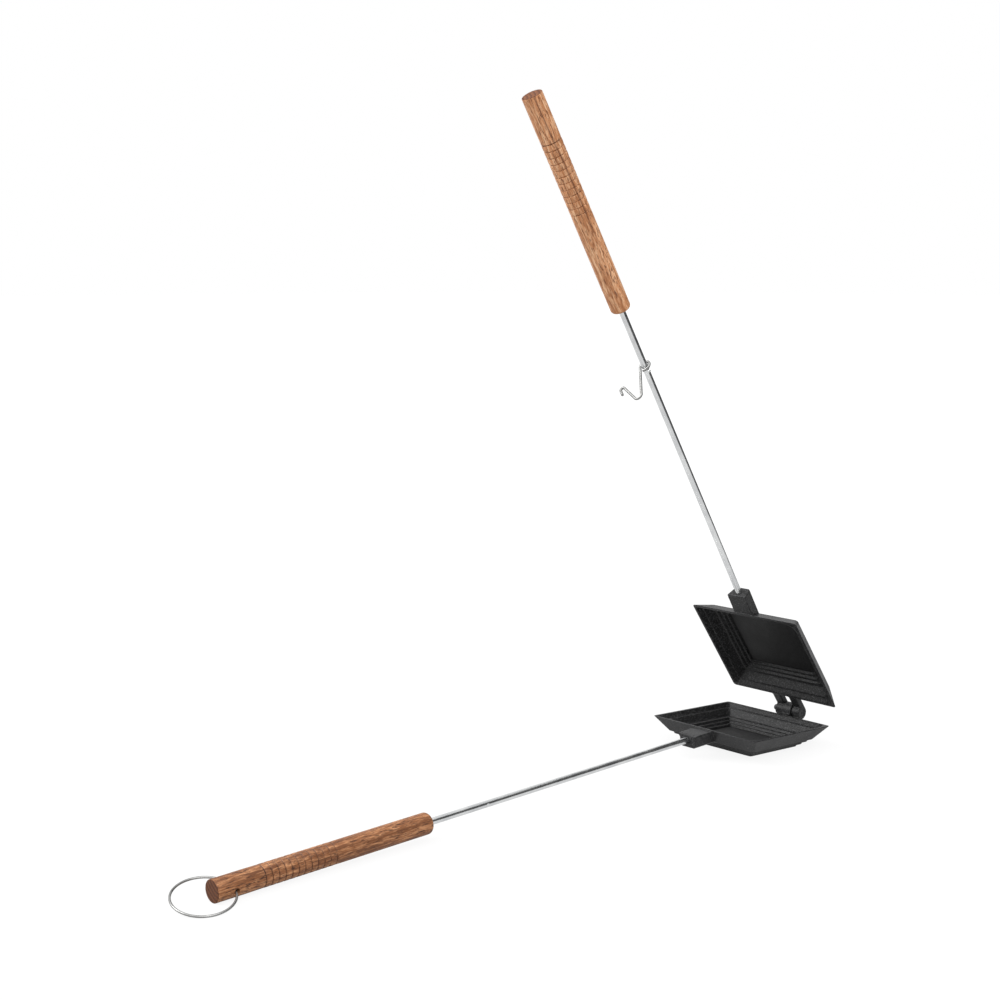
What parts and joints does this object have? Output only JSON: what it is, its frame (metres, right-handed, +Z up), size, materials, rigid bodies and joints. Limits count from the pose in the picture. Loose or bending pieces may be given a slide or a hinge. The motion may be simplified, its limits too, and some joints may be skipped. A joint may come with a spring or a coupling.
{
  "type": "pie iron",
  "caption": "Hinged cast iron sandwich cooker for a campfire: square stepped pans on long steel rods with wooden handles, a wire latch hook and a hanging ring.",
  "frame": {"origin": "middle of the bounding box at rest, on the floor the iron stands on", "axes": "+Z up, +Y along the hinge pin towards its domed tail, -X from the hinge towards the handles"},
  "size_m": [0.7382, 0.13, 0.6158],
  "materials": {
    "cast_iron": "matte, sand cast",
    "dark_steel": "dark, oiled",
    "plated_steel": "bright zinc or nickel plate",
    "stained_hardwood": "stained, satin",
    "stained_hardwood_light": "stained, satin"
  },
  "bodies": {
    "lower_half": {"lower_pan": "cast_iron", "lower_rod": "plated_steel", "lower_handle": "stained_hardwood"},
    "upper_half": {"upper_pan": "cast_iron", "upper_rod": "plated_steel", "upper_handle": "stained_hardwood_light", "hinge_pin": "dark_steel"},
    "ring": {"hang_ring": "plated_steel"},
    "hook": {"latch_hook": "plated_steel"}
  },
  "joints": [
    {"name": "pan_hinge", "type": "hinge", "parent": "lower_half", "child": "upper_half", "pos_m": [0.36074, 0, 0.02011], "axis": [0, 1, 0], "range_deg": [-50.8, 119]},
    {"name": "ring_swing", "type": "hinge", "parent": "lower_half", "child": "ring", "pos_m": [-0.32012, 0, 0.00957], "axis": [-0.0046, 0.9744, 0.2249], "range_deg": [-150, 160]},
    {"name": "hook_swivel", "type": "hinge", "parent": "upper_half", "child": "hook", "pos_m": [0.13272, 0, 0.38167], "axis": [-0.5266, 0, 0.8501], "continuous": true}
  ]
}
